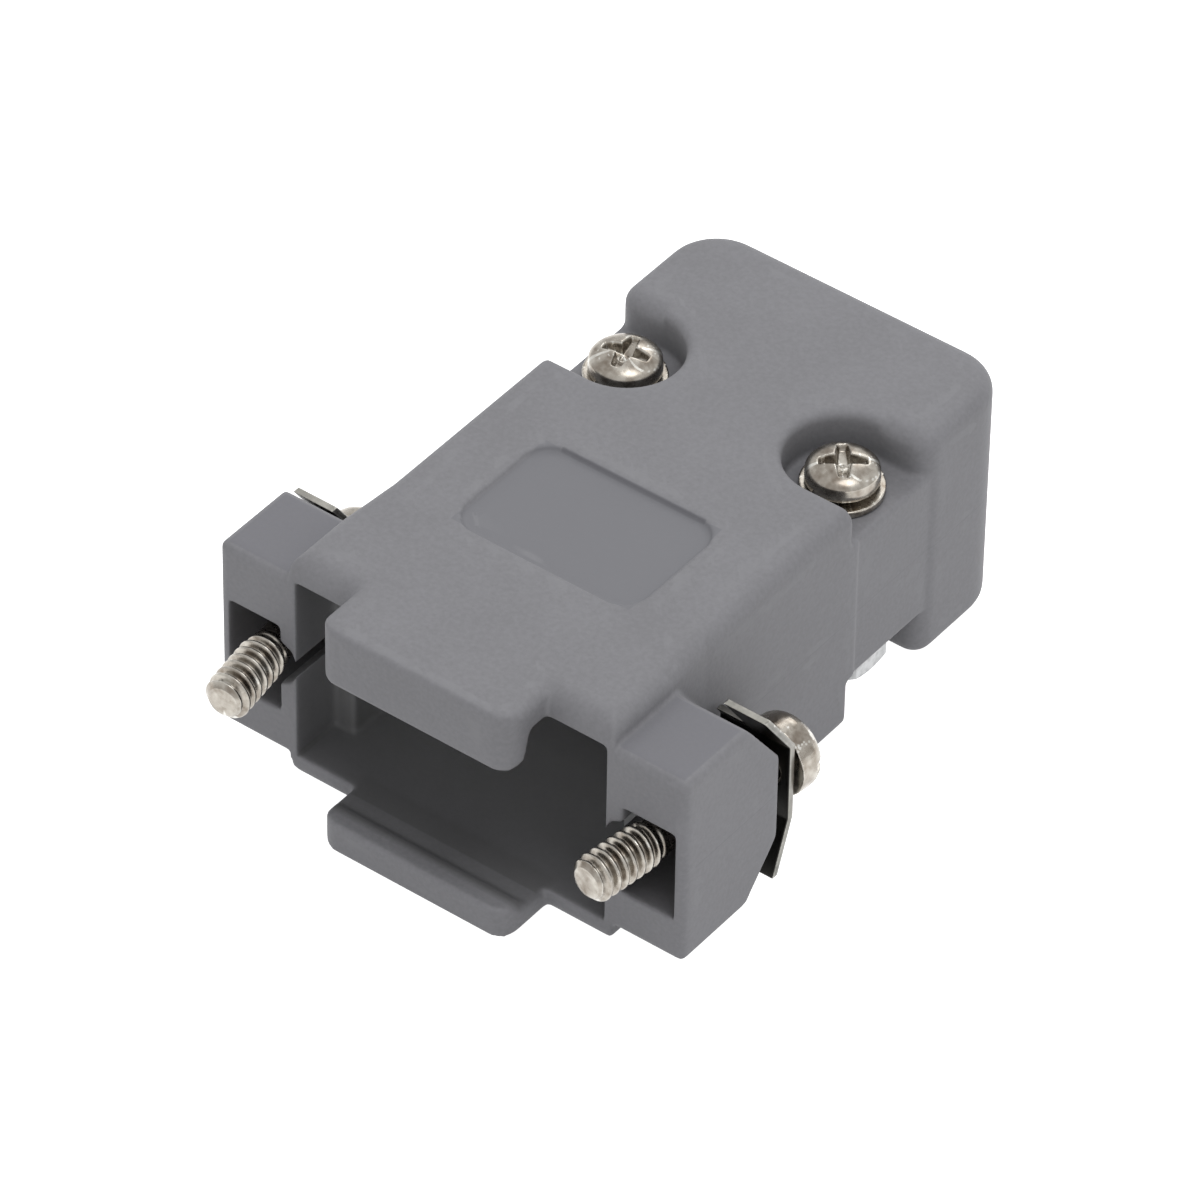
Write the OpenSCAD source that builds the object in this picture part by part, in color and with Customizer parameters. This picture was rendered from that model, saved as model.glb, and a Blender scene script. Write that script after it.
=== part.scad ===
// Two-shell plastic hood for a nine-way D connector.
// The origin is the middle of the mating face, where the connector's flange sits. Y runs
// back to the cable exit, Z is up, and z = 0 is the plane where the two shells meet.

/* [Body] */
// Half the body's height, from the parting plane to its flat top
body_h = 8.3; // [7.8:0.1:9.5]
// Width of the body and of its rear block
body_w = 22.1; // [21.8:0.1:23]
// Extra width on each side where the body meets the ears
root_flare = 0.35; // [0.1:0.05:0.6]
// Length of the front body, from the mating face to the screw pockets
body_l = 23.2; // [22.5:0.1:25]
// Length of the rear block
rear_l = 8.6; // [8.4:0.1:11]
// Plan radius of the rear block's back corners
rear_r = 3.3; // [2:0.1:4]
// Radius of the soft outer edges
edge_r = 1.1; // [0.5:0.1:1.4]
// Wall thickness of the shells
wall = 1.5; // [1.2:0.1:1.8]

/* [Mating face] */
// How far the sides of the connector opening lie inside the body's sides
open_inset = 0.15; // [0.1:0.05:0.5]
// Height of the opening above the parting plane
open_up = 6.5; // [6:0.05:6.6]
// Height of the opening below the parting plane
open_down = 6.5; // [6:0.05:6.6]
// Depth of the connector opening before the cavity narrows
open_d = 3.5; // [2:0.1:4]
// Width of the lips that stand forward above and below the opening
lip_w = 13.6; // [10:0.1:15]
// How far the lips stand forward
lip_l = 3.4; // [2.5:0.1:4]
// Height of the upper lip's front face
upper_lip_h = 4.1; // [3:0.05:4.4]
// Height of the lower lip's front face
lower_lip_h = 2.1; // [1.6:0.05:2.5]

/* [Ears] */
// Height of an ear
ear_h = 13.4; // [12.6:0.1:14]
// Depth of an ear at its top and bottom
ear_d = 5.7; // [5:0.1:7]
// How much further back the ear's middle reaches
ear_bulge = 3.2; // [2.6:0.1:3.5]
// Height of the ear's flat back
ear_back_h = 5.4; // [5:0.1:7]
// How far the flat back's centre lies below the parting plane
ear_back_drop = 0.3; // [0:0.05:0.5]
// How far the window's centre lies below the parting plane
window_drop = 0.5; // [0:0.05:0.8]
// Width of the window through an ear
window_w = 3.6; // [3.5:0.05:3.8]
// Height of the window through an ear
window_h = 6.3; // [5:0.1:7]
// Thickness of an ear's outer wall beside the window
ear_wall = 0.7; // [0.5:0.05:0.8]

/* [Jackscrews] */
// Distance of a jackscrew's tip from the body's side
jack_out = 1.4; // [1.35:0.01:1.5]
// Major diameter of the jackscrew thread
thread_d = 2.845; // [2.5:0.005:2.9]
// Length of the thread
thread_l = 3.1; // [2.5:0.1:3.2]
// Diameter of the plain shank behind the thread
shank_d = 2.3; // [2:0.05:2.4]
// Diameter of the jackscrew head
jack_head_d = 4.8; // [4:0.1:5]
// Length of the jackscrew head
jack_head_l = 2; // [1.6:0.1:2.6]
// Angle at which each loose jackscrew leans in towards the connector
lean = 8; // [0:0.5:9]
// How far the left tip stands out of the mating face
left_reach = 4.6; // [4.5:0.1:4.7]
// How much further back the right jackscrew has slid
right_slide = 0.9; // [0.3:0.1:1.5]

/* [Retaining plates] */
// Thickness of a retaining plate
plate_t = 0.5; // [0.4:0.05:0.55]
// Gap between a retaining plate and the body's side
plate_inset = 0.35; // [0.2:0.05:0.6]
// Gap between the ear's back and the left plate
left_gap = 0.1; // [0.05:0.05:0.3]
// Clearance on each side of the shank in the plate's slot
slot_fit = 0.15; // [0.1:0.01:0.25]

/* [Assembly screws] */
// Spacing of the two assembly screws
screw_pitch = 15.4; // [15:0.1:15.8]
// Nominal diameter of the assembly screws
screw_d = 2.5; // [2:0.1:2.6]
// Diameter of their pan heads
screw_head_d = 4.3; // [4:0.1:4.8]
// Height of their pan heads
screw_head_h = 1.6; // [1.4:0.05:2]
// Width of a screw pocket
pocket_w = 7; // [6:0.1:7.2]
// Height of the ledge that the upper pockets end on
ledge_z = 5.5; // [5:0.1:5.8]
// Height of the seat for the nuts, below the parting plane
nut_seat_z = 4.7; // [4.4:0.1:5.4]
// Outer diameter of a lock washer
washer_d = 5; // [4.8:0.1:5.2]
// Thickness of a lock washer's wire
washer_t = 0.45; // [0.4:0.05:0.6]
// Width across the flats of a nut
nut_af = 5; // [4.6:0.1:5.2]
// Thickness of a nut
nut_h = 2; // [1.8:0.1:2.2]

/* [Label] */
// Width of the sunk label field
label_w = 12.7; // [10:0.1:15]
// Length of the sunk label field
label_l = 8.8; // [6:0.1:12]
// Distance of the label field from the mating face
label_y = 8; // [7:0.1:10]
// Depth of the label field
label_depth = 0.35; // [0.2:0.05:0.5]

/* [Cable clamp] */
// Diameter of the cable exit
exit_d = 8.4; // [7:0.1:9]
// Width of the clamp straps along the cable
strap_w = 4; // [3:0.1:4.4]
// Thickness of the clamp straps
strap_t = 0.9; // [0.7:0.05:1.1]
// Distance from the cable channel between the straps to the rear block's inner side wall
clamp_arm = 6; // [5.5:0.1:6.8]
// Gap between the straps' flat ends
strap_gap = 1.2; // [0.8:0.1:2]
// Diameter of the clamp screws
clamp_screw_d = 2; // [1.6:0.1:2.2]
// Height of a clamp screw's head
clamp_head_h = 1.3; // [1:0.05:1.5]

/* [Hidden] */

$fn = 64;
eps = 0.01;             // overlap that keeps unions and cuts clean
big = 60;               // larger than any part, for half-spaces
thread_fit = 0.02;      // radial clearance of a screw in its nut
hole_fit = 0.15;        // radial clearance of a screw in a plain hole

open_w = body_w - 2 * open_inset;

pocket_r = pocket_w / 2;
pocket_x = screw_pitch / 2;
pocket_y = body_l + pocket_r - 0.55;   // the pockets bite a little into the front body
rear_y = pocket_y + pocket_r;          // the rear block's front face
back_y = rear_y + rear_l;              // the rear block's back face
waist_inset = 0.15;                    // the waist's sides lie this far in from the body's
rim_r = 0.5;                           // rounding of the pockets' rims
front_r = 1.3;                         // rounding of the front edges beside the lips
rear_front_r = 1.3;                    // plan radius of the rear block's front corners

ear_r = 0.5;                           // rounding of the ears' edges
ear_x = open_w / 2;
ear_y = ear_d + ear_bulge;             // the ears' flat back
jack_pitch = body_w + 2 * jack_out;    // spacing of the jackscrews' tips
shank_gap = 0.19;                      // between the left shank and its window's outer wall
window_out = jack_pitch / 2 + (ear_y + left_reach) * tan(lean) + shank_d / 2 / cos(lean) + shank_gap;
window_x = window_out - window_w / 2;
ears_w = 2 * (window_out + ear_wall);
groove_r = thread_d / 2 + 0.18;        // groove that lets a jackscrew pass straight
lip_corner_r = 1.5;
lip_r = 0.7;
lip_nose = 1.4;                        // depth of the lips' front edge
lip_root = 2;                          // how far the lips run back into the body

cavity_w = body_w - 2 * wall - 0.1;
cavity_z = body_h - wall;
passage_w = 9;
passage_z = 4.2;
chamber_w = body_w - 2 * wall - 0.2;
chamber_y = rear_y + wall;
chamber_l = rear_l - 2 * wall;
rib_x = chamber_w / 2 - 0.45;          // inner end of the ribs that carry the clamp

plate_x = ears_w / 2 - 0.1;            // outer edge of the retaining plates
plate_w = plate_x - body_w / 2 - plate_inset;
plate_slot = shank_d + 2 * slot_fit;
plate_reach = ear_h / 2 - 0.4;         // reach of the legs above and below the jackscrew
// The legs bend less than the ear's sloped back, so they stand clear of it
upper_bend = atan(ear_bulge / (ear_h / 2 + ear_back_drop - ear_back_h / 2)) - 1.65;
lower_bend = atan(ear_bulge / (ear_h / 2 - ear_back_drop - ear_back_h / 2)) - 20.85;
head_gap = 0.024;                      // between the left head's rim and its plate
plate_slack = 0.1;                     // how much looser the right plate sits under its head
jack_l = (left_reach + ear_y + left_gap + plate_t + head_gap + jack_head_d / 2 * sin(lean)) / cos(lean);

nut_seat = -nut_seat_z;
nut_z = nut_seat - nut_h;
head_z = ledge_z + 2 * washer_t;       // a sprung washer is twice as high as its wire
strap_y = chamber_y + chamber_l / 2;
strap_r = chamber_w / 2 - clamp_arm;   // radius of the cable channel
strap_z = strap_gap / 2 + strap_t;     // outer faces of the straps' flat ends
strap_end = chamber_w / 2 - 0.05;      // the straps end just short of the chamber's walls
clamp_nut_h = 1.6;
clamp_nut_af = 4;
clamp_x = rib_x - clamp_nut_af / 2 - 0.2;   // the clamp screws' nuts just clear the ribs

reach = [left_reach, left_reach - right_slide];
gap = [left_gap, left_gap + right_slide - plate_slack];

shell_grey = [0.45, 0.45, 0.47];
nickel = [0.78, 0.77, 0.74];
zinc = [0.7, 0.72, 0.74];

// side is -1 on the left and 1 on the right
module at_side(side) { mirror([side < 0 ? 1 : 0, 0, 0]) children(); }

// Extrudes an outline drawn in X and Z along Y
module along_y(y0, y1) { translate([0, y1, 0]) rotate([90, 0, 0]) linear_extrude(y1 - y0) children(); }

// Extrudes an outline drawn in Y and Z along X
module along_x(x0, x1) { translate([x0, 0, 0]) rotate([90, 0, 90]) linear_extrude(x1 - x0) children(); }

// Rectangle between two corners, with round corners
module round_rect(x0, x1, y0, y1, r) {
    for (x = [x0 + r, x1 - r], y = [y0 + r, y1 - r]) translate([x, y]) circle(r);
    translate([x0 + r, y0]) square([x1 - x0 - 2 * r, y1 - y0]);
    translate([x0, y0 + r]) square([x1 - x0, y1 - y0 - 2 * r]);
}

function unit(v) = v / norm(v);

// Points of an arc of radius r that rounds the corner b between a and c
function corner_arc(a, b, c, r, steps) =
    let (u = unit(a - b), v = unit(c - b), half = acos(u * v) / 2,
        m = b + unit(u + v) * r / sin(half), p = b + u * r / tan(half), q = b + v * r / tan(half))
    [for (i = [0:steps]) m + r * unit((p - m) * (steps - i) + (q - m) * i)];

// Polygon points with every corner rounded by r
function rounded(points, r, steps = 5) =
    let (n = len(points))
    [for (i = [0:n - 1]) each corner_arc(points[(i + n - 1) % n], points[i], points[(i + 1) % n], r, steps)];

// Upright column of radius r whose rims are rounded by edge
module soft_column(r, edge) {
    rotate_extrude() intersection() {
        round_rect(-r, r, -body_h, body_h, edge);
        translate([0, -body_h]) square([r, 2 * body_h]);
    }
}

// Full-height front part of the body between two lengths, w wide, softened along its edges
module front_part(w, y1) {
    intersection() {
        along_y(0, y1) round_rect(-w / 2, w / 2, -body_h, body_h, edge_r);
        along_x(-w / 2, w / 2) round_rect(0, y1 + 2 * front_r, -body_h, body_h, front_r);
    }
}

// Taper from the ears' root to the plain body
module root_taper(y0, y1) {
    w = body_w / 2;
    hull() {
        along_y(y0, y0 + eps) round_rect(-w - root_flare, w + root_flare, -body_h, body_h, edge_r);
        along_y(y1 - eps, y1) round_rect(-w, w, -body_h, body_h, edge_r);
    }
}

module rear_block() {
    x = body_w / 2;
    for (side = [-1, 1]) at_side(side) {
        translate([x - rear_front_r, rear_y + rear_front_r, 0]) soft_column(rear_front_r, edge_r);
        translate([x - rear_r, back_y - rear_r, 0]) soft_column(rear_r, edge_r);
    }
    along_y(rear_y + rear_front_r, back_y - rear_r) round_rect(-x, x, -body_h, body_h, edge_r);
    along_x(-x + rear_front_r, x - rear_front_r)
        round_rect(rear_y, back_y - rear_r + edge_r, -body_h, body_h, edge_r);
    along_x(-x + rear_r, x - rear_r) round_rect(rear_y, back_y, -body_h, body_h, edge_r);
}

// Waist between the front body and the rear block: full height only between the pockets
module waist() {
    y0 = body_l - 3;
    l = rear_y + 3 - y0;
    x = body_w / 2 - waist_inset;
    translate([-pocket_x, y0, -body_h]) cube([screw_pitch, l, 2 * body_h]);
    translate([-x, y0, nut_seat]) cube([2 * x, l, ledge_z - nut_seat]);
}

// Closed outside of the body, both halves
module body_outside() {
    front_part(body_w + 2 * root_flare, ear_d - 1);
    root_taper(ear_d - 1, ear_y);
    front_part(body_w, body_l);
    waist();
    rear_block();
    for (side = [-1, 1]) at_side(side) ear_outside();
}

module ear_outside() {
    z = ear_h / 2;
    drop = ear_back_drop;
    flat = ear_back_h / 2;
    x = ears_w / 2;
    intersection() {
        along_x(ear_x - 1, x) polygon(rounded([[0, -z], [ear_d, -z], [ear_y, -drop - flat],
            [ear_y, -drop + flat], [ear_d, z], [0, z]], ear_r));
        along_y(-1, ear_y + 1) round_rect(ear_x - 3, x, -z, z, ear_r);
        translate([0, 0, -z]) linear_extrude(2 * z) round_rect(ear_x - 3, x, 0, ear_y, ear_r);
    }
}

// Window and guide groove that run through an ear
module ear_cut() {
    translate([window_x - window_w / 2, -eps, -window_drop - window_h / 2])
        cube([window_w, ear_y + 2 * eps, window_h]);
    translate([jack_pitch / 2, -eps, 0]) rotate([-90, 0, 0])
        cylinder(r = groove_r, h = ear_y + 2 * eps);
}

// Lip drawn as a side outline in Y and Z, with round plan corners and soft edges
module lip(z0, z1, outline) {
    x = lip_w / 2;
    intersection() {
        along_x(-x, x) polygon(outline);
        along_y(-lip_l, lip_root) round_rect(-x, x, z0, z1, lip_r);
        translate([0, 0, z0]) linear_extrude(z1 - z0)
            round_rect(-x, x, -lip_l, lip_root + lip_corner_r, lip_corner_r);
    }
}

// Flat on top, with a deep nose that holds the connector's flange from in front
module upper_lip() {
    z = body_h - upper_lip_h;
    back = lip_root + 2;
    lip(z, body_h, rounded([[-lip_l, z], [-lip_l + lip_nose, z], [-lip_l + lip_nose + 0.6, open_up],
        [back, open_up], [back, body_h + 0.8], [-lip_l, body_h]], 0.35));
}

module lower_lip() {
    z = -body_h + lower_lip_h;
    back = lip_root + 2;
    lip(-body_h, z, rounded([[-lip_l, -body_h], [-lip_l, z], [-lip_l + lip_nose, z],
        [-lip_l + lip_nose + 0.5, -open_down], [back, -open_down], [back, -body_h - 0.8]], 0.14));
}

// Outline of a pocket's rounded rim, from the pocket's axis or middle line outwards
function rim_points(z) = concat(
    [for (i = [0:6]) let (a = 15 * i) [pocket_r + rim_r - rim_r * cos(a), z - rim_r + rim_r * sin(a)]],
    [[pocket_r + rim_r, z + 1]]);

// Screw pocket with its floor at height z: round at its inner end and open to the side
module pocket(z) {
    rim = rim_points(body_h);
    translate([pocket_x, pocket_y, 0]) {
        translate([0, 0, z]) cylinder(r = pocket_r, h = big);
        translate([0, -pocket_r, z]) cube([body_w, pocket_w, big]);
        rotate_extrude() polygon(concat([[0, body_h + 1], [0, body_h - rim_r]], rim));
        along_x(0, body_w) polygon(concat(rim, [for (i = [len(rim) - 1:-1:0]) [-rim[i][0], rim[i][1]]]));
    }
}

// All hollows inside the two shells
module inside() {
    translate([-open_w / 2, -eps, -open_down]) cube([open_w, open_d, open_down + open_up]);
    translate([-cavity_w / 2, 0, -cavity_z + 0.3])
        cube([cavity_w, body_l - wall, 2 * cavity_z - 0.6]);
    translate([-passage_w / 2, body_l - wall - eps, -passage_z])
        cube([passage_w, chamber_y - body_l + wall + 2 * eps, 2 * passage_z]);
    translate([-chamber_w / 2, chamber_y, -cavity_z]) cube([chamber_w, chamber_l, 2 * cavity_z]);
    translate([0, chamber_y, 0]) rotate([-90, 0, 0]) cylinder(d = exit_d, h = rear_l);
}

// Ribs on the chamber's side walls that carry the ends of the cable clamp
module clamp_ribs() {
    for (side = [-1, 1]) at_side(side)
        translate([rib_x, strap_y - strap_w / 4, -cavity_z - eps])
            cube([chamber_w / 2 - rib_x + eps, strap_w / 2, cavity_z + eps - strap_z]);
}

module label_field() {
    translate([0, 0, body_h - label_depth]) linear_extrude(1)
        round_rect(-label_w / 2, label_w / 2, label_y, label_y + label_l, 1.8);
}

// Everything that both shells have cut out of them
module shared_cuts() {
    inside();
    for (side = [-1, 1]) at_side(side) {
        ear_cut();
        pocket(ledge_z);
        mirror([0, 0, 1]) pocket(nut_seat_z);
        translate([pocket_x, pocket_y, -body_h]) cylinder(r = screw_d / 2 + hole_fit, h = 2 * body_h);
    }
}

module upper_shell() {
    color(shell_grey) intersection() {
        union() {
            difference() {
                union() {
                    body_outside();
                    upper_lip();
                }
                shared_cuts();
                label_field();
            }
            mirror([0, 0, 1]) clamp_ribs();
        }
        translate([-big / 2, -big / 2, 0]) cube([big, 2 * big, big]);
    }
}

module lower_shell() {
    color(shell_grey) intersection() {
        union() {
            difference() {
                union() {
                    body_outside();
                    lower_lip();
                }
                shared_cuts();
            }
            clamp_ribs();
        }
        translate([-big / 2, -big / 2, -big]) cube([big, 2 * big, big]);
    }
}

// Pan head with its underside at z = 0: a short side wall under a shallow dome, cross slotted
module pan_head(d, h, slot_w, slot_l, slot_h) {
    rise = h * 0.6;
    dome_r = (d * d / 4 + rise * rise) / (2 * rise);
    difference() {
        intersection() {
            cylinder(d = d, h = h);
            translate([0, 0, h - dome_r]) sphere(dome_r, $fn = 128);
        }
        for (a = [20, 110]) rotate(a)
            translate([-slot_l / 2, -slot_w / 2, h - slot_h]) cube([slot_l, slot_w, slot_h + 1]);
    }
}

// Hexagon nut with its top at z = 0, flats towards X, and the corners turned off below
module hex_nut(af, h, thread) {
    corner = af / cos(30) / 2;
    turned = (corner - af / 2) * 1.2;
    translate([0, 0, -h]) difference() {
        intersection() {
            rotate(30) cylinder(r = corner, h = h, $fn = 6);
            rotate_extrude()
                polygon([[0, 0], [corner - turned, 0], [corner, turned * 0.6], [corner, h], [0, h]]);
        }
        translate([0, 0, -1]) cylinder(r = thread / 2 + thread_fit, h = h + 2);
    }
}

module assembly_screw(side) {
    color(nickel) translate([side * pocket_x, pocket_y, 0]) {
        translate([0, 0, head_z]) pan_head(screw_head_d, screw_head_h, 0.65, 2.5, 0.95);
        translate([0, 0, nut_z - 0.4]) cylinder(d = screw_d, h = head_z - nut_z + 0.4 + eps);
    }
}

module assembly_nut(side) {
    color(zinc) translate([side * pocket_x, pocket_y, nut_seat]) hex_nut(nut_af, nut_h, screw_d);
}

// Section of the washer's wire at turn angle a, which climbs from angle start
function washer_ring(a, start, turn) =
    let (z = washer_t * a / turn, r0 = screw_d / 2 + hole_fit, r1 = washer_d / 2)
    [for (c = [[r0, 0], [r1, 0], [r1, washer_t], [r0, washer_t]])
        [c[0] * cos(a + start), c[0] * sin(a + start), z + c[1]]];

// Spring lock washer: one open turn of flat wire, its high end against the head
module lock_washer(side) {
    steps = 40;
    turn = 350;
    points = [for (i = [0:steps]) each washer_ring(turn * i / steps, -100, turn)];
    walls = [for (i = [0:steps - 1], j = [0:3])
        let (a = 4 * i + j, b = 4 * i + (j + 1) % 4) [a, b, b + 4, a + 4]];
    color(nickel) translate([side * pocket_x, pocket_y, ledge_z])
        polyhedron(points, concat([[3, 2, 1, 0]], [for (w = walls) [w[0], w[1], w[2]]],
            [for (w = walls) [w[0], w[2], w[3]]], [[for (j = [0:3]) 4 * steps + j]]));
}

// Puts a jackscrew on its axis, which starts at its tip and leans out towards the head
module on_jack_axis(side) {
    i = side < 0 ? 0 : 1;
    translate([side * jack_pitch / 2, -reach[i], 0]) rotate([0, 0, -side * lean])
        rotate([-90, 0, 0]) children();
}

module jackscrew(side) {
    r = thread_d / 2;
    head_r = jack_head_d / 2;
    dome = jack_head_l * 0.55;
    end_l = jack_l + jack_head_l;
    color(nickel) on_jack_axis(side) difference() {
        rotate_extrude() polygon([[0, 0], [r - 0.4, 0], [r, 0.4], [r, thread_l],
            [shank_d / 2, thread_l + 0.2], [shank_d / 2, jack_l], [head_r, jack_l],
            for (a = [0:15:90]) [head_r - dome + dome * cos(a), end_l - dome + dome * sin(a)], [0, end_l]]);
        translate([-head_r - 1, -0.35, end_l - 0.9]) cube([jack_head_d + 2, 0.7, 2]);
    }
}

// Side outline of a retaining plate in Y and Z, offset back by t
function plate_points(t) =
    let (half = ear_back_h / 2, leg = plate_reach - half)
    [[t - tan(upper_bend) * leg, half + leg], [t, half],
        [t, -half], [t - tan(lower_bend) * leg, -half - leg]];

// Bent steel plate that follows the ear's back and takes the shank in an open slot
module jackscrew_plate(side) {
    i = side < 0 ? 0 : 1;
    inner = plate_points(0);
    outer = plate_points(plate_t);
    shank_x = jack_pitch / 2 + (ear_y + gap[i] + reach[i]) * tan(lean);
    color(nickel) at_side(side) translate([0, ear_y + gap[i], -ear_back_drop]) difference() {
        along_x(plate_x - plate_w, plate_x)
            polygon([inner[0], inner[1], inner[2], inner[3], outer[3], outer[2], outer[1], outer[0]]);
        translate([shank_x, -1, ear_back_drop]) rotate([-90, 0, 0])
            cylinder(d = plate_slot, h = plate_t + 2);
        translate([shank_x - plate_w, -1, ear_back_drop - plate_slot / 2])
            cube([plate_w, plate_t + 2, plate_slot]);
        for (z = [ear_back_h / 2 + 0.6, -ear_back_h / 2 - 0.6 - big])
            translate([plate_x - plate_w - 1, -big / 2, z]) cube([plate_w - 1.9, big, big]);
    }
}

// Clamp strap above the cable: an arch between two flat ends
module strap() {
    z0 = strap_gap / 2;
    difference() {
        along_y(-strap_w / 2, strap_w / 2) difference() {
            union() {
                circle(strap_r + strap_t);
                translate([-strap_end, z0]) square([2 * strap_end, strap_t]);
            }
            circle(strap_r);
            translate([-big / 2, z0 - big]) square(big);
        }
        for (x = [-1, 1])
            translate([x * clamp_x, 0, 0]) cylinder(r = clamp_screw_d / 2 + hole_fit, h = strap_z + 1);
    }
}

module clamp_upper() {
    color(zinc) translate([0, strap_y, 0]) strap();
}

module clamp_lower() {
    color(zinc) translate([0, strap_y, 0]) mirror([0, 0, 1]) strap();
}

module clamp_screw(side) {
    color(nickel) translate([side * clamp_x, strap_y, 0]) {
        translate([0, 0, strap_z]) pan_head(1.9 * clamp_screw_d, clamp_head_h, 0.55, 2.2, 0.8);
        translate([0, 0, -strap_z - clamp_nut_h])
            cylinder(d = clamp_screw_d, h = 2 * strap_z + clamp_nut_h + eps);
    }
}

module clamp_nut(side) {
    color(zinc) translate([side * clamp_x, strap_y, -strap_z])
        hex_nut(clamp_nut_af, clamp_nut_h, clamp_screw_d);
}

upper_shell();
lower_shell();
assembly_screw(-1);  // assembly_screw_left
assembly_screw(1);  // assembly_screw_right
lock_washer(-1);  // lock_washer_left
lock_washer(1);  // lock_washer_right
assembly_nut(-1);  // assembly_nut_left
assembly_nut(1);  // assembly_nut_right
jackscrew(-1);  // jackscrew_left
jackscrew(1);  // jackscrew_right
jackscrew_plate(-1);  // jackscrew_plate_left
jackscrew_plate(1);  // jackscrew_plate_right
clamp_upper();
clamp_lower();
clamp_screw(-1);  // clamp_screw_left
clamp_screw(1);  // clamp_screw_right
clamp_nut(-1);  // clamp_nut_left
clamp_nut(1);  // clamp_nut_right
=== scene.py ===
# A grey moulded hood for a D connector, dressed over its solids.
import math

import bmesh
import bpy
import numpy as np
from mathutils import Matrix, Vector


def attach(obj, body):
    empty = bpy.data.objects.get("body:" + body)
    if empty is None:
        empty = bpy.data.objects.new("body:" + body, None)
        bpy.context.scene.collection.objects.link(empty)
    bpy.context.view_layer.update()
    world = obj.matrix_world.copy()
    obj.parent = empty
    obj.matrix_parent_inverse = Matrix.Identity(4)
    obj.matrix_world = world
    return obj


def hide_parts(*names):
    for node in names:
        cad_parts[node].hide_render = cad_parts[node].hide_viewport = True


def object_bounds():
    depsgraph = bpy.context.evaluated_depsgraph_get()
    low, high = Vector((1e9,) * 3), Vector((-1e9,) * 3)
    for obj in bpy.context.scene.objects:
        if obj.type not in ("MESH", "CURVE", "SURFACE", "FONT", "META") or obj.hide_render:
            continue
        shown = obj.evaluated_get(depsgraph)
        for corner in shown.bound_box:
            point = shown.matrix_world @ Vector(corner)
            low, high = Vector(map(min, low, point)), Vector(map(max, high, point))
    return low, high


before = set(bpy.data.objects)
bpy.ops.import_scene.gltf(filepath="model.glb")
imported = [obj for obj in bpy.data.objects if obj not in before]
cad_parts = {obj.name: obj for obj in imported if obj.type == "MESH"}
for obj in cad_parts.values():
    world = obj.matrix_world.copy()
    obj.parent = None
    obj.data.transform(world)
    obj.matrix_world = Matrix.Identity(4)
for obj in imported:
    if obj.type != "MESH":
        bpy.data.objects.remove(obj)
solidLow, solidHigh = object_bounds()
mm = 0.001  # sizes below are in millimetres
sides = {"left": -1, "right": 1}  # with the sign of x there


def addNode(tree, kind, **values):
    node = tree.nodes.new(kind)
    for key, value in values.items():
        setattr(node, key, value)
    return node


# Gives a socket a plain value, or links another node's output to it.
def feed(tree, socket, value):
    if isinstance(value, bpy.types.NodeSocket):
        tree.links.new(value, socket)
    else:
        socket.default_value = value


# The result of a Math node; each value is a number or an output.
def mathNode(tree, operation, *values):
    node = addNode(tree, "ShaderNodeMath", operation=operation)
    for socket, value in zip(node.inputs, values):
        feed(tree, socket, value)
    return node.outputs[0]


# The value carried in a straight line from one range to the other, and held at its ends.
def spread(tree, value, source=(0, 1), target=(0, 1)):
    node = addNode(tree, "ShaderNodeMapRange")
    for label, given in (("Value", value), ("From Min", source[0]), ("From Max", source[1]),
                         ("To Min", target[0]), ("To Max", target[1])):
        feed(tree, node.inputs[label], given)
    return node.outputs["Result"]


# White to camera, glossy and transmission rays, and the plain value to the others.
def seenAsWhite(tree, plain):
    path = addNode(tree, "ShaderNodeLightPath").outputs
    seen = mathNode(tree, "MAXIMUM", path["Is Camera Ray"], path["Is Glossy Ray"])
    seen = mathNode(tree, "MAXIMUM", seen, path["Is Transmission Ray"])
    return spread(tree, seen, target=(plain, 1))


cameraSet = {
    "aim": (3.20, 9.51, 6.41),
    "distance": 511.2,
    "azimuth": 36.78,  # degrees, from straight ahead of the mating face
    "elevation": 41.65,
    "roll": 0.95,
    "lens": 276,
    "sensor": 36,
    "clip": (0.01, 10),  # metres
}


# Stands back from the aim along azimuth and elevation, and turns by the roll about that line.
def makeCamera(c):
    a, e, roll = (math.radians(c[k]) for k in ("azimuth", "elevation", "roll"))
    back = Vector((math.sin(a) * math.cos(e), -math.cos(a) * math.cos(e), math.sin(e)))
    right = Vector((math.cos(a), math.sin(a), 0))
    up = back.cross(right)
    across = right * math.cos(roll) + up * math.sin(roll)
    top = up * math.cos(roll) - right * math.sin(roll)
    data = bpy.data.cameras.new("camera")
    data.lens, data.sensor_width = c["lens"], c["sensor"]
    data.clip_start, data.clip_end = c["clip"]
    camera = bpy.data.objects.new("camera", data)
    bpy.context.scene.collection.objects.link(camera)
    turn = Matrix((across, top, back)).transposed().to_4x4()
    place = (Vector(c["aim"]) + back * c["distance"]) * mm
    camera.matrix_world = Matrix.Translation(place) @ turn
    bpy.context.scene.camera = camera


lightSet = {
    "fill": 0.62,  # light that reaches the object from all round
    "key": (0.22, -0.03, 0.87, 0.4, 2.0),  # x, y, z and size in metres, and watts
    "back": (-0.25, 0.65, 0.55, 0.4, 1.2),
}


# A square lamp that faces the object.
def makeLamp(name, settings):
    x, y, z, size, watts = settings
    data = bpy.data.lights.new(name, "AREA")
    data.shape, data.size, data.energy = "SQUARE", size, watts
    lamp = bpy.data.objects.new(name, data)
    bpy.context.scene.collection.objects.link(lamp)
    lamp.location = (x, y, z)
    lamp.rotation_mode = "QUATERNION"
    lamp.rotation_quaternion = Vector((x, y, z)).to_track_quat("Z", "Y")


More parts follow.
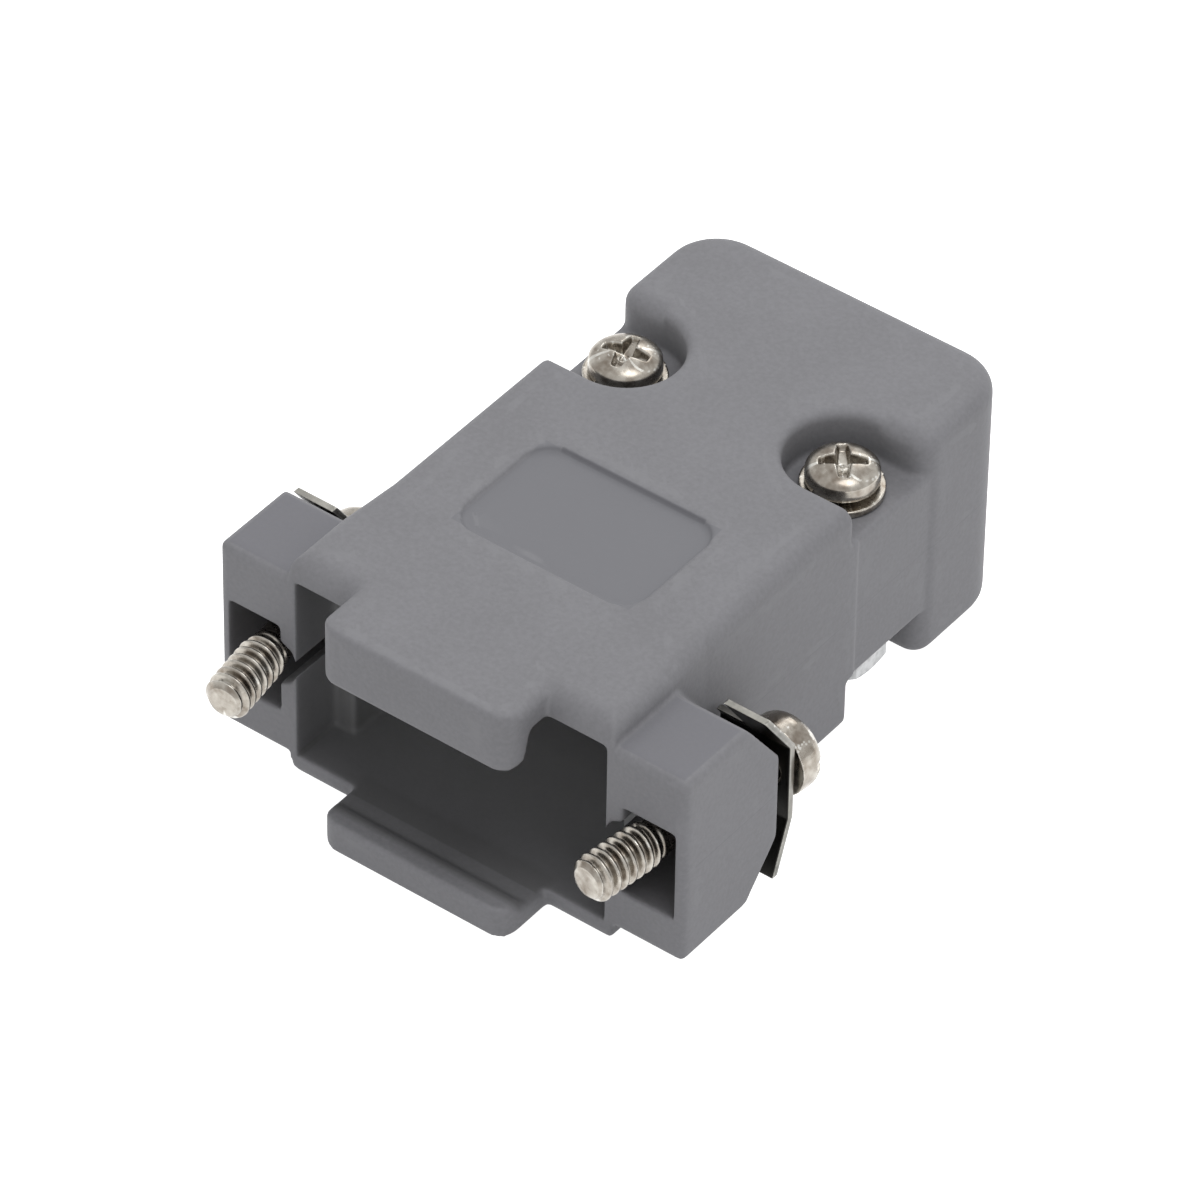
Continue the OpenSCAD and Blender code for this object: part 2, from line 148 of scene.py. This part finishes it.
# White to look at, and a soft fill light on the object.
def makeWorld():
    world = bpy.data.worlds.new("studio")
    world.use_nodes = True
    light = world.node_tree.nodes["Background"].inputs
    light["Color"].default_value = (1, 1, 1, 1)
    feed(world.node_tree, light["Strength"], seenAsWhite(world.node_tree, lightSet["fill"]))
    bpy.context.scene.world = world


floorSet = {
    "reach": 3.0,  # half its width, in metres
    "gap": 0.01,  # below the object
    "colour": (0.8, 0.8, 0.8, 1),
    "roughness": 0.9,
}


def makeFloor(s):
    r, z = s["reach"], solidLow[2] - s["gap"] * mm
    mesh = bpy.data.meshes.new("floor")
    mesh.from_pydata([(-r, -r, z), (r, -r, z), (r, r, z), (-r, r, z)], [], [(0, 1, 2, 3)])
    floor = bpy.data.objects.new("floor", mesh)
    bpy.context.scene.collection.objects.link(floor)
    material = bpy.data.materials.new("floor")
    material.use_nodes = True
    tree = material.node_tree
    shader = tree.nodes["Principled BSDF"].inputs
    shader["Base Color"].default_value = s["colour"]
    shader["Roughness"].default_value = s["roughness"]
    shader["Emission Color"].default_value = (1, 1, 1, 1)
    feed(tree, shader["Emission Strength"], seenAsWhite(tree, 0.0))
    mesh.materials.append(material)


makeCamera(cameraSet)
makeWorld()
makeLamp("keyLamp", lightSet["key"])
makeLamp("backLamp", lightSet["back"])
makeFloor(floorSet)
bpy.context.scene.view_settings.view_transform = "Standard"
print("camera, lamps and floor stand")


# An empty node group: its inputs with their first values, and the names of what it gives.
def newGroup(name, inputs, outputs):
    group = bpy.data.node_groups.new(name, "ShaderNodeTree")
    for label, value in inputs.items():
        kind = "NodeSocketVector" if isinstance(value, tuple) else "NodeSocketFloat"
        socket = group.interface.new_socket(name=label, in_out="INPUT", socket_type=kind)
        socket.default_value = value
    for label in outputs:
        group.interface.new_socket(name=label, in_out="OUTPUT", socket_type="NodeSocketFloat")
    return group, addNode(group, "NodeGroupInput").outputs, addNode(group, "NodeGroupOutput").inputs


# The place on the piece itself, in metres.
def ownPlace(tree):
    return addNode(tree, "ShaderNodeTexCoord").outputs["Object"]


def splitVector(tree, vector):
    node = addNode(tree, "ShaderNodeSeparateXYZ")
    feed(tree, node.inputs[0], vector)
    return node.outputs


# Noise over the piece, with features of the given size in millimetres.
def noiseOver(tree, size, detail):
    node = addNode(tree, "ShaderNodeTexNoise")
    feed(tree, node.inputs["Vector"], ownPlace(tree))
    feed(tree, node.inputs["Scale"], mathNode(tree, "DIVIDE", 1 / mm, size))
    feed(tree, node.inputs["Detail"], detail)
    return node.outputs["Fac"]


# Two layers of noise: the fine one is the mould's spark-eroded grain, the broad one slow shade changes.
# Shade = broad noise times the cloud share, plus fine noise times the rest.
def makeGrainGroup():
    values = {"Grain size": 0.25, "Cloud size": 6.0, "Cloud share": 0.4}
    group, given, result = newGroup("mouldGrain", values, ("Height", "Shade"))
    grain = noiseOver(group, given["Grain size"], detail=3)
    cloud = noiseOver(group, given["Cloud size"], detail=2)
    feed(group, result["Height"], grain)
    share = given["Cloud share"]
    broad = mathNode(group, "MULTIPLY", cloud, share)
    fine = mathNode(group, "MULTIPLY", grain, mathNode(group, "SUBTRACT", 1.0, share))
    feed(group, result["Shade"], mathNode(group, "ADD", broad, fine))
    return group


# Pointiness carried from (start, full) to (0, 1), times noise: a patchy mask where the surface turns sharply,
# for painted highlights on edges and painted shade in hollows.
def makeLightingGroup():
    group, given, result = newGroup("edgeLighting", {"Start": 0.52, "Full": 0.6, "Patch size": 1.0}, ("Mask",))
    point = addNode(group, "ShaderNodeNewGeometry").outputs["Pointiness"]
    edge = spread(group, point, source=(given["Start"], given["Full"]))
    patches = noiseOver(group, given["Patch size"], detail=2)
    feed(group, result["Mask"], mathNode(group, "MULTIPLY", edge, patches))
    return group


# 1 inside a box and its mirror image across x = 0, falling to 0 over the soft width outside it. Each axis gives
# 1 + (half size - distance to the middle) / soft width, held between 0 and 1, and the mask is their product.
def makeFieldGroup():
    values = {"Middle": (0.0, 0.0, 0.0), "Half size": (0.0, 0.0, 0.0), "Soft": 0.0001}
    group, given, result = newGroup("boxField", values, ("Mask",))
    where = splitVector(group, ownPlace(group))
    middle = splitVector(group, given["Middle"])
    half = splitVector(group, given["Half size"])
    mask = 1.0
    for axis in range(3):
        place = where[axis] if axis else mathNode(group, "ABSOLUTE", where[0])
        away = mathNode(group, "ABSOLUTE", mathNode(group, "SUBTRACT", place, middle[axis]))
        depth = mathNode(group, "DIVIDE", mathNode(group, "SUBTRACT", half[axis], away), given["Soft"])
        raised = mathNode(group, "MAXIMUM", mathNode(group, "ADD", depth, 1.0), 0.0)
        mask = mathNode(group, "MULTIPLY", mathNode(group, "MINIMUM", raised, 1.0), mask)
    feed(group, result["Mask"], mask)
    return group


mouldGrain = makeGrainGroup()
edgeLighting = makeLightingGroup()
boxField = makeFieldGroup()


# A shared group put into a material with the material's own values.
def placeGroup(tree, group, values):
    node = addNode(tree, "ShaderNodeGroup", node_tree=group)
    for label, value in values.items():
        feed(tree, node.inputs[label], value)
    return node.outputs


# A straight run from one colour to the other, between two places of the factor.
def twoShades(tree, factor, places, colours):
    node = addNode(tree, "ShaderNodeValToRGB")
    feed(tree, node.inputs["Fac"], factor)
    for element, place, colour in zip(node.color_ramp.elements, places, colours):
        element.position, element.color = place, (*colour, 1)
    return node.outputs["Color"]


# The first colour where the factor is 0, and the second where it is 1.
def mixColours(tree, factor, first, second):
    node = addNode(tree, "ShaderNodeMix", data_type="RGBA")
    feed(tree, node.inputs["Factor"], factor)
    sockets = [socket for socket in node.inputs if socket.type == "RGBA"]
    for socket, value in zip(sockets, (first, second)):
        feed(tree, socket, (*value, 1) if isinstance(value, tuple) else value)
    return next(socket for socket in node.outputs if socket.type == "RGBA")


# A material, its node tree and its shader's inputs.
def newMaterial(name):
    material = bpy.data.materials.new(name)
    material.use_nodes = True
    return material, material.node_tree, material.node_tree.nodes["Principled BSDF"].inputs


# Roughness follows the grain's shade, and a bump as deep as the finish says follows the height.
def roughenSurface(tree, shader, shade, height, f):
    feed(tree, shader["Roughness"], spread(tree, shade, target=f["roughness"]))
    bump = addNode(tree, "ShaderNodeBump")
    feed(tree, bump.inputs["Distance"], f["bumpDepth"] * mm)
    feed(tree, bump.inputs["Strength"], f["bump"])
    feed(tree, bump.inputs["Height"], height)
    feed(tree, shader["Normal"], bump.outputs["Normal"])


shellFinish = {
    "low": (0.217, 0.216, 0.229),
    "high": (0.253, 0.252, 0.268),
    "shades": (0.35, 0.65),  # where the grain reaches low and high
    "label": (0.205, 0.206, 0.222),
    # painted shade on the ear tops
    "ear": (0.185, 0.185, 0.205),
    "near": (0.12, 0.12, 0.122),  # painted shade inside, at the mating face
    "deep": (0.34, 0.34, 0.345),  # painted shade inside, where little light comes
    # painted shade in the ear windows
    "hole": (0.105, 0.102, 0.108),
    # dark joint at the parting line, and painted shade along the label's far edge
    "line": (0.15, 0.15, 0.165),
    # painted highlight along sharp edges, in patches
    "edgeHighlight": (0.262, 0.262, 0.277),
    "edgeShading": {"Start": 0.53, "Full": 0.62, "Patch size": 0.8},
    "grain": {"Grain size": 0.28, "Cloud size": 5.0},
    "bump": 0.16,
    "bumpDepth": 0.06,
    "labelSmooth": 0.8,  # share of the bump that the label's floor lacks
    "roughness": (0.52, 0.7),  # as the grain's shade goes from 0 to 1
    "gloss": 0.3,
    "depth": (1.5, 9.0),  # where the inside's painted shade starts and ends to pale
}
# Each field's middle, half size and soft width in millimetres, and the strength it is painted with. All but the
# label field and the parting line mark painted shade.
shellFields = {
    "label field": ((0, 12.4, 8.1), (6.2, 4.25, 0.25), 0.08, 1.0),
    "label edge": ((0, 16.76, 8.1), (5.0, 0.06, 0.4), 0.1, 0.75),
    "parting line": ((0, 20.0, 0), (17.0, 19.0, 0.015), 0.03, 0.35),
    "ear top": ((13.75, 2.95, 6.7), (2.15, 2.5, 0.06), 0.12, 0.7),
    "lip shade": ((0, -0.6, -5.9), (6.6, 1.5, 0.42), 0.5, 0.8),
    "opening": ((0, 10.7, 0), (10.86, 11.2, 6.46), 0.12, 1.0),
    "rear chamber": ((0, 34.0, 0), (9.4, 2.8, 6.75), 0.1, 1.0),
    "ear window": ((13.9, 4.5, -0.5), (1.76, 4.6, 3.1), 0.1, 1.0),
}


# Two shades of grain, painted over in turn by the label, painted highlights on edges, the label edge's painted
# shade, the parting line, painted shade on the ear tops and at the lip, the inside's painted shade and the ear
# windows' painted shade.
def makeShellMaterial(f):
    material, tree, shader = newMaterial("mouldedPlastic")

    def field(name):  # its mask, times its strength
        middle, half, soft, strength = shellFields[name]
        values = {"Middle": [v * mm for v in middle], "Half size": [v * mm for v in half], "Soft": soft * mm}
        return mathNode(tree, "MULTIPLY", placeGroup(tree, boxField, values)["Mask"], strength)

    grain = placeGroup(tree, mouldGrain, f["grain"])
    label = field("label field")
    # painted shade inside the opening and the rear chamber, paling from near to deep
    inside = mathNode(tree, "MAXIMUM", field("opening"), field("rear chamber"))
    paling = spread(tree, splitVector(tree, ownPlace(tree))["Y"], source=[v * mm for v in f["depth"]])
    colour = twoShades(tree, grain["Shade"], f["shades"], (f["low"], f["high"]))
    for mask, paint in (
        (label, f["label"]),
        (placeGroup(tree, edgeLighting, f["edgeShading"])["Mask"], f["edgeHighlight"]),
        (field("label edge"), f["line"]),
        (field("parting line"), f["line"]),
        (field("ear top"), f["ear"]),
        (field("lip shade"), f["near"]),
        (inside, mixColours(tree, paling, f["near"], f["deep"])),
        (field("ear window"), f["hole"]),
    ):
        colour = mixColours(tree, mask, colour, paint)
    feed(tree, shader["Base Color"], colour)
    flat = mathNode(tree, "SUBTRACT", 1.0, mathNode(tree, "MULTIPLY", label, f["labelSmooth"]))
    roughenSurface(tree, shader, grain["Shade"], mathNode(tree, "MULTIPLY", grain["Height"], flat), f)
    feed(tree, shader["Specular IOR Level"], f["gloss"])
    return material


metalFinishes = {
    "brightNickel": {  # screws and washers
        "low": (0.2, 0.17, 0.14),
        "high": (0.46, 0.435, 0.39),
        "crest": (0.66, 0.65, 0.61),  # painted highlight on outer edges
        "hollow": (0.04, 0.033, 0.028),  # painted shade in slots and thread roots
        "roughness": (0.18, 0.36),
        "bump": 0.2,
        "grain": 0.35,
        "cloud": 0.9,
    },
    "plateNickel": {
        "low": (0.14, 0.137, 0.125),
        "high": (0.27, 0.262, 0.24),
        "crest": (0.6, 0.59, 0.55),
        "hollow": (0.04, 0.038, 0.034),
        "earSideShade": (0.028, 0.027, 0.025),  # painted shade on the face on the ear's side
        "roughness": (0.25, 0.45),
        "bump": 0.1,
        "grain": 0.4,
        "cloud": 1.4,
    },
    "zincPlate": {  # nuts and clamp
        "low": (0.15, 0.155, 0.155),
        "high": (0.26, 0.265, 0.265),
        "crest": (0.45, 0.455, 0.46),
        "hollow": (0.06, 0.06, 0.06),
        "roughness": (0.3, 0.5),
        "bump": 0.15,
        "grain": 0.3,
        "cloud": 1.6,
    },
}
platingSet = {  # what all three platings share
    "cloudShare": 0.75,
    "shades": (0.34, 0.66),
    "bumpDepth": 0.02,
    "crestLighting": {"Start": 0.52, "Full": 0.6, "Patch size": 0.4},
    "crestStrength": 1.6,
    "hollowLighting": {"Start": 0.485, "Full": 0.43, "Patch size": 0.4},
    "hollowStrength": 2.0,
    "facing": (-0.55, -0.8),  # y of the normal, from not at all to wholly towards the ear, for that painted shade
}


# The platings are metal all over: two shades of grain, painted shade in hollows, and painted highlights on
# edges over both; the plate also gets painted shade on its face towards the ear.
def makeMetal(name):
    f = {**platingSet, **metalFinishes[name]}
    material, tree, shader = newMaterial(name)
    grain = placeGroup(tree, mouldGrain, {"Grain size": f["grain"], "Cloud size": f["cloud"],
                                          "Cloud share": f["cloudShare"]})
    colour = twoShades(tree, grain["Shade"], f["shades"], (f["low"], f["high"]))
    for part in ("hollow", "crest"):
        edgeShading = placeGroup(tree, edgeLighting, f[part + "Lighting"])["Mask"]
        mask = mathNode(tree, "MULTIPLY", edgeShading, f[part + "Strength"])
        colour = mixColours(tree, mathNode(tree, "MINIMUM", mask, 1.0), colour, f[part])
    if "earSideShade" in f:
        normal = addNode(tree, "ShaderNodeNewGeometry").outputs["Normal"]
        hidden = spread(tree, splitVector(tree, normal)["Y"], source=f["facing"])
        colour = mixColours(tree, hidden, colour, f["earSideShade"])
    feed(tree, shader["Base Color"], colour)
    feed(tree, shader["Metallic"], 1)
    roughenSurface(tree, shader, grain["Shade"], grain["Height"], f)
    return material


shellPlastic = makeShellMaterial(shellFinish)
metals = {name: makeMetal(name) for name in metalFinishes}
print("materials are mixed")

softSet = {
    "shells": {"voxel": 0.15, "passes": 5, "keep": 370000},
    "plate": {"voxel": 0.08, "passes": 3, "keep": 30000},
    "washer": {"voxel": 0.05, "passes": 3, "keep": 30000},
    "jackscrew": {"voxel": 0.06, "passes": 3, "keep": 190000},
    "smoothing": 0.5,  # how far each pass moves a point
    "weld": 1e-7,  # metres: points closer than this become one
    "snap": 1e-5,  # points this close to the parting plane are on it
    "quickFactor": 1.6,
}


# One or more meshes opened for editing together.
def openMesh(*meshes):
    work = bmesh.new()
    for mesh in meshes:
        work.from_mesh(mesh)
    return work


def closeMesh(work, mesh):
    work.to_mesh(mesh)
    work.free()


# Cuts by the plane through a point, and clears the side behind the normal or the one before it.
def cutMesh(work, point, normal, clearBehind, snap=0.0):
    parts = work.verts[:] + work.edges[:] + work.faces[:]
    bmesh.ops.bisect_plane(work, geom=parts, dist=snap, plane_co=point, plane_no=normal,
                           clear_inner=clearBehind, clear_outer=not clearBehind)


def openEdges(work):
    return [edge for edge in work.edges if edge.is_boundary]


def newPiece(name, mesh):
    piece = bpy.data.objects.new(name, mesh)
    bpy.context.scene.collection.objects.link(piece)
    return piece


# The piece's mesh as its modifiers leave it.
def bakeModifiers(piece):
    graph = bpy.context.evaluated_depsgraph_get()
    mesh = bpy.data.meshes.new_from_object(piece.evaluated_get(graph))
    piece.modifiers.clear()
    piece.data = mesh


# A copy of a solid's loose triangles, welded, and scaled about the origin.
def mergedCopy(node, name, scale=1.0):
    work = openMesh(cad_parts[node].data)
    bmesh.ops.remove_doubles(work, verts=work.verts, dist=softSet["weld"])
    bmesh.ops.scale(work, vec=(scale,) * 3, verts=work.verts)
    mesh = bpy.data.meshes.new(name)
    closeMesh(work, mesh)
    return newPiece(name, mesh)


# The piece remeshed on a fine grid and smoothed, which rounds each edge as a mould does, and thinned.
def soften(piece, s):
    coarse = 1.0
    remesh = piece.modifiers.new("grid", "REMESH")
    remesh.mode, remesh.voxel_size = "VOXEL", s["voxel"] * coarse
    smooth = piece.modifiers.new("soften", "SMOOTH")
    smooth.factor, smooth.iterations = softSet["smoothing"], max(1, int(s["passes"] / coarse))
    bakeModifiers(piece)
    triangles = sum(len(p.vertices) - 2 for p in piece.data.polygons)
    if triangles > s["keep"]:
        thin = piece.modifiers.new("thin", "DECIMATE")
        thin.ratio = s["keep"] / triangles
        bakeModifiers(piece)


# One material and smooth faces.
def finishPiece(piece, material):
    piece.data.materials.clear()
    piece.data.materials.append(material)
    piece.data.polygons.foreach_set("use_smooth", np.ones(len(piece.data.polygons), dtype=bool))
    piece.data.update()


# Both shells are softened as one body and then parted at z = 0, so no seam shows where they meet.
# The cut is closed with flat faces behind sharp edges.
def partShells(s):
    whole = mergedCopy("upper_shell", "bothShells", 1 / mm)
    lower = mergedCopy("lower_shell", "lowerCopy", 1 / mm)
    closeMesh(openMesh(whole.data, lower.data), whole.data)
    bpy.data.objects.remove(lower)
    soften(whole, s)
    for node, up in (("upper_shell", True), ("lower_shell", False)):
        work = openMesh(whole.data)
        cutMesh(work, (0, 0, 0), (0, 0, 1), clearBehind=up, snap=softSet["snap"])
        rim = openEdges(work)
        for edge in rim:
            edge.smooth = False
        bmesh.ops.triangle_fill(work, use_beauty=True, edges=rim, normal=(0, 0, -1 if up else 1))
        bmesh.ops.scale(work, vec=(mm,) * 3, verts=work.verts)
        print(node, len(work.faces), "faces,", len(openEdges(work)), "open edges")
        piece = newPiece(node + "_moulded", bpy.data.meshes.new(node + "_moulded"))
        closeMesh(work, piece.data)
        finishPiece(piece, shellPlastic)
        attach(piece, "hood")
        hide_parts(node)
    bpy.data.objects.remove(whole)


# The softened copy stands for its solid and moves with the given body.
def softCopy(node, name, body, finish, s):
    piece = mergedCopy(node, name, 1 / mm)
    soften(piece, s)
    piece.data.transform(Matrix.Scale(mm, 4))
    finishPiece(piece, metals[finish])
    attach(piece, body)
    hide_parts(node)


partShells(softSet["shells"])
for side in sides:
    softCopy(f"jackscrew_plate_{side}", f"plate_{side}_bent", f"plate_{side}", "plateNickel", softSet["plate"])
    softCopy(f"lock_washer_{side}", f"washer_{side}_sprung", "hood", "brightNickel", softSet["washer"])
print("shells, plates and washers are softened")


# A sheet of quads over points[row, column]. Columns run round and close, and a row at a single point is a pole.
def gridMesh(name, points):
    rows, columns = points.shape[:2]
    here = np.arange(rows * columns).reshape(rows, columns)
    after = np.roll(here, -1, axis=1)
    quads = np.stack([here[:-1], after[:-1], after[1:], here[1:]], axis=-1).reshape(-1, 4)
    mesh = bpy.data.meshes.new(name)
    mesh.from_pydata(points.reshape(-1, 3).tolist(), [], quads.tolist())
    work = openMesh(mesh)
    bmesh.ops.remove_doubles(work, verts=work.verts, dist=softSet["weld"])
    bmesh.ops.recalc_face_normals(work, faces=work.faces)
    closeMesh(work, mesh)
    return newPiece(name, mesh)


jackSet = {
    "pitch": 24.9,  # between the two tips
    "reach": {"left": 4.6, "right": 3.7},  # how far each tip stands in front of y = 0
    "lean": 8.0,  # degrees
    "threadRadius": 1.4225,
    "threadPitch": 0.635,
    "threadDepth": 0.36,
    "threadLength": 5.4,
    "flank": 1.25,  # slope of the thread's sides
    "root": 0.12,  # how flat its root is
    "tip": 0.45,  # length of the chamfer
    "tipDepth": 1.35,  # its depth, in thread depths
    "runOut": 1.2,  # length in which the thread fades into the shank
    "shankRadius": 1.15,
    "columns": 72,
    "rowsPerPitch": 14,
    "noseRows": 4,
    "lap": 0.05,  # how far the shank reaches into the thread
}


# Start point and directions of a jackscrew's own frame, tip first, in millimetres.
def jackAxis(side):
    a = math.radians(jackSet["lean"])
    start = np.array([sides[side] * jackSet["pitch"] / 2, -jackSet["reach"][side], 0.0])
    along = np.array([sides[side] * math.sin(a), math.cos(a), 0.0])
    across = np.array([along[1], -along[0], 0.0])
    return start, across, np.array([0.0, 0.0, 1.0]), along


# Radius = major radius - depth times a rounded triangle wave of (length / pitch - turn). It is held under a
# chamfer at the tip, fades into the shank at the other end, and a few rows from the axis out close the tip.
def threadPoints(s):
    rows = int(s["threadLength"] / s["threadPitch"] * s["rowsPerPitch"])
    t, turn = np.meshgrid(np.linspace(0, s["threadLength"], rows),
                          np.linspace(0, 2 * np.pi, s["columns"], endpoint=False), indexing="ij")
    phase = (t / s["threadPitch"] - turn / (2 * np.pi)) % 1.0
    ridge = np.clip(s["flank"] * np.abs(2 * phase - 1) - s["root"], 0, 1)
    ridge = ridge * ridge * (3 - 2 * ridge)
    crest = s["threadRadius"] - s["threadDepth"] * (1 - ridge)
    chamfer = s["threadRadius"] - s["threadDepth"] * s["tipDepth"] * (1 - np.clip(t / s["tip"], 0, 1))
    fade = np.clip((t - s["threadLength"] + s["runOut"]) / s["runOut"], 0, 1)
    radius = np.minimum(crest, chamfer) * (1 - fade) + s["shankRadius"] * fade
    nose = np.linspace(0, 1, s["noseRows"], endpoint=False)[:, None] * radius[:1]
    radius = np.concatenate([nose, radius])
    t, turn = (np.concatenate([np.repeat(v[:1], s["noseRows"], axis=0), v]) for v in (t, turn))
    return radius[..., None], t[..., None], turn[..., None]


# Point = start + radius times (cos turn across + sin turn up) + length along.
# The rest of the screw is the solid's own, softened.
def makeJackscrew(side, s):
    radius, t, turn = threadPoints(s)
    start, across, up, along = jackAxis(side)
    points = start + radius * (np.cos(turn) * across + np.sin(turn) * up) + t * along
    thread = gridMesh(f"jackscrew_{side}_thread", points * mm)
    finishPiece(thread, metals["brightNickel"])
    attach(thread, f"screw_{side}")
    head = mergedCopy(f"jackscrew_{side}", f"jackscrew_{side}_head", 1 / mm)
    work = openMesh(head.data)
    cutMesh(work, start + along * (s["threadLength"] - s["lap"]), along, clearBehind=True)
    bmesh.ops.holes_fill(work, edges=openEdges(work))
    closeMesh(work, head.data)
    soften(head, softSet["jackscrew"])
    head.data.transform(Matrix.Scale(mm, 4))
    finishPiece(head, metals["brightNickel"])
    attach(head, f"screw_{side}")
    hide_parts(f"jackscrew_{side}")


for side in sides:
    makeJackscrew(side, jackSet)
print("jackscrews are threaded")

headSet = {
    "x": 7.7,
    "y": 26.15,
    "z": 6.4,  # underside of the head
    "radius": 2.15,
    "height": 1.6,
    "shoulder": 0.55,  # height of the rounded edge
    "domeSpread": 1.04,  # radius at which the dome would end, in head radii
    "domePower": 0.9,
    "wingLength": 1.35,
    "wingWidth": (0.255, 0.425),  # half width at the end and in the middle
    "wingDepth": (0.4275, 0.95),
    "wallSoft": 0.03,
    "endSoft": 0.04,
    "turn": {"left": 12.0, "right": 38.0},  # of the cross, in degrees
    "columns": 180,
    "rows": 70,
    # below the edge: shares of the radius, and of the edge's height
    "rim": [(1.0, 0.9), (1.012, 0.55), (1.012, 0.12), (0.98, 0.0), (0.58, 0.0)],
    "neckDepth": 1.0,  # how far the head's neck sinks into the screw
    "stemTop": 0.3,  # the stem ends this far under the head
    "sharpAngle": 35,  # degrees, past which the stem's edges stay sharp
}


# 1 well short of the edge and 0 well past it: 1 / (1 + e to the power of (distance past it / soft width)).
def softEdge(past, soft):
    return 1 / (1 + np.exp(past / soft))


# A shallow dome, less a cross: each wing sinks and widens towards the middle and has soft walls.
def headHeight(x, y, turn, s):
    rise = s["height"] - s["shoulder"]
    fall = (x * x + y * y) / (s["radius"] * s["domeSpread"]) ** 2
    dome = s["shoulder"] + rise * np.sqrt(np.clip(1 - fall, 0, 1)) ** s["domePower"]
    a = math.radians(turn)
    u, v = x * math.cos(a) + y * math.sin(a), y * math.cos(a) - x * math.sin(a)
    sink = np.zeros_like(x)
    for p, q in ((np.abs(u), np.abs(v)), (np.abs(v), np.abs(u))):
        inward = np.clip(1 - p / s["wingLength"], 0, 1)
        width, depth = (w[0] + (w[1] - w[0]) * inward for w in (s["wingWidth"], s["wingDepth"]))
        wing = softEdge(q - width, s["wallSoft"]) * softEdge(p - s["wingLength"], s["endSoft"])
        sink = np.maximum(sink, wing * depth)
    return dome - sink


# Rows run from the middle out over the dome, down round the rim, in under the head and down its neck.
def makeScrewHead(side, s):
    turn = np.linspace(0, 2 * np.pi, s["columns"], endpoint=False)[None, :]
    r = (np.linspace(0, 1, s["rows"]) * s["radius"])[:, None]
    x, y = r * np.cos(turn), r * np.sin(turn)
    z = headHeight(x, y, s["turn"][side], s)
    rim = np.array(s["rim"] + [s["rim"][-1]])
    low = rim[:, 1:] * z[-1:]
    low[-1] = -s["neckDepth"]
    x, y = (np.concatenate([v, rim[:, :1] * v[-1:]]) for v in (x, y))
    z = np.concatenate([z, low])
    place = np.array([s["x"] * sides[side], s["y"], s["z"]])
    head = gridMesh(f"assembly_screw_{side}_head", (np.stack([x, y, z], axis=-1) + place) * mm)
    finishPiece(head, metals["brightNickel"])
    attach(head, "hood")
    stem = mergedCopy(f"assembly_screw_{side}", f"assembly_screw_{side}_stem")
    work = openMesh(stem.data)
    cutMesh(work, (0, 0, (s["z"] - s["stemTop"]) * mm), (0, 0, 1), clearBehind=False)
    closeMesh(work, stem.data)
    finishPiece(stem, metals["brightNickel"])
    split = stem.modifiers.new("edge", "EDGE_SPLIT")
    split.split_angle = math.radians(s["sharpAngle"])
    bakeModifiers(stem)
    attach(stem, "hood")
    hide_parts(f"assembly_screw_{side}")


for side in sides:
    makeScrewHead(side, headSet)
print("assembly screws are cut")

# nuts and clamp, shown as their solids are
for node in ("assembly_nut_left", "assembly_nut_right", "clamp_upper", "clamp_lower",
             "clamp_screw_left", "clamp_screw_right", "clamp_nut_left", "clamp_nut_right"):
    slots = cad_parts[node].data.materials
    slots.clear()
    slots.append(metals["zincPlate"])
print("nuts and clamp are plated")
